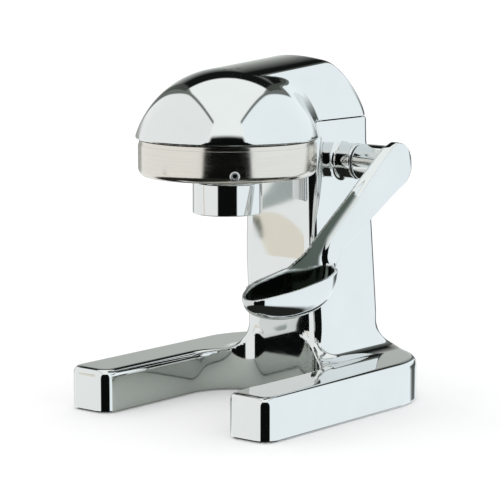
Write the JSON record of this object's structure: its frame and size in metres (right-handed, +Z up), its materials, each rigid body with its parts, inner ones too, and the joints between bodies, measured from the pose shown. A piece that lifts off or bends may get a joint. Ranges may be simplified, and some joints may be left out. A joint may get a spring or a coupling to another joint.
{
  "type": "citrus press juicer",
  "caption": "Hand-operated citrus press: U-shaped foot, rear column, domed head over a bowl ring with spout, and a lever with a scooped palm paddle on the right.",
  "frame": {"origin": "middle of the underside of the four rubber feet, of the whole object as seen from above", "axes": "+Z up; -Y towards the user, who stands at the open end of the U-shaped foot; +X to the right, where the lever is"},
  "size_m": [0.204, 0.236, 0.26],
  "materials": {
    "chrome": "mirror-polished chrome plate on castings",
    "spout_chrome": "polished stainless funnel and spout",
    "satin_ring": "fine satin, warm",
    "stainless": "satin stainless",
    "cup_aluminium": "as cast, tumbled",
    "steel": "machined",
    "bronze": "sintered, oiled",
    "rubber": "matt black",
    "nylon": "matt black"
  },
  "bodies": {
    "frame": {"body_casting": "chrome", "bottom_cover": "steel", "foot_front_left": "rubber", "foot_front_right": "rubber", "foot_rear_left": "rubber", "foot_rear_right": "rubber", "foot_screw_front_left": "steel", "foot_screw_front_right": "steel", "foot_screw_rear_left": "steel", "foot_screw_rear_right": "steel", "bowl_holder": "satin_ring", "holder_screw_left": "steel", "holder_screw_right": "steel", "juice_funnel": "spout_chrome", "funnel_screw": "steel", "strainer": "stainless", "reamer_cone": "stainless", "guide_upper": "bronze", "guide_lower": "bronze", "guide_screw_upper_left": "steel", "guide_screw_upper_right": "steel", "guide_screw_lower_left": "steel", "guide_screw_lower_right": "steel", "bush_left": "bronze", "bush_right": "bronze", "lever_washer": "nylon"},
    "lever": {"lever": "chrome", "lever_set_screw": "steel", "lever_shaft": "steel", "pinion": "steel", "pinion_pin": "steel", "retaining_ring": "steel"},
    "head": {"press_head": "chrome", "press_cup": "cup_aluminium", "cup_screw": "steel", "rack_post": "steel", "post_screw_lower": "steel", "post_screw_upper": "steel"}
  },
  "joints": [
    {"name": "lever_pivot", "type": "hinge", "parent": "frame", "child": "lever", "pos_m": [0.03, 0.064, 0.181], "axis": [-1, 0, 0], "range_deg": [0, 150]},
    {"name": "head_lift", "type": "slide", "parent": "frame", "child": "head", "axis": [0, 0, 1], "range_m": [0, 0.0475]}
  ],
  "couplings": [
    {"joint": "head_lift", "follows": "lever_pivot", "m_per_rad": 0.018}
  ]
}
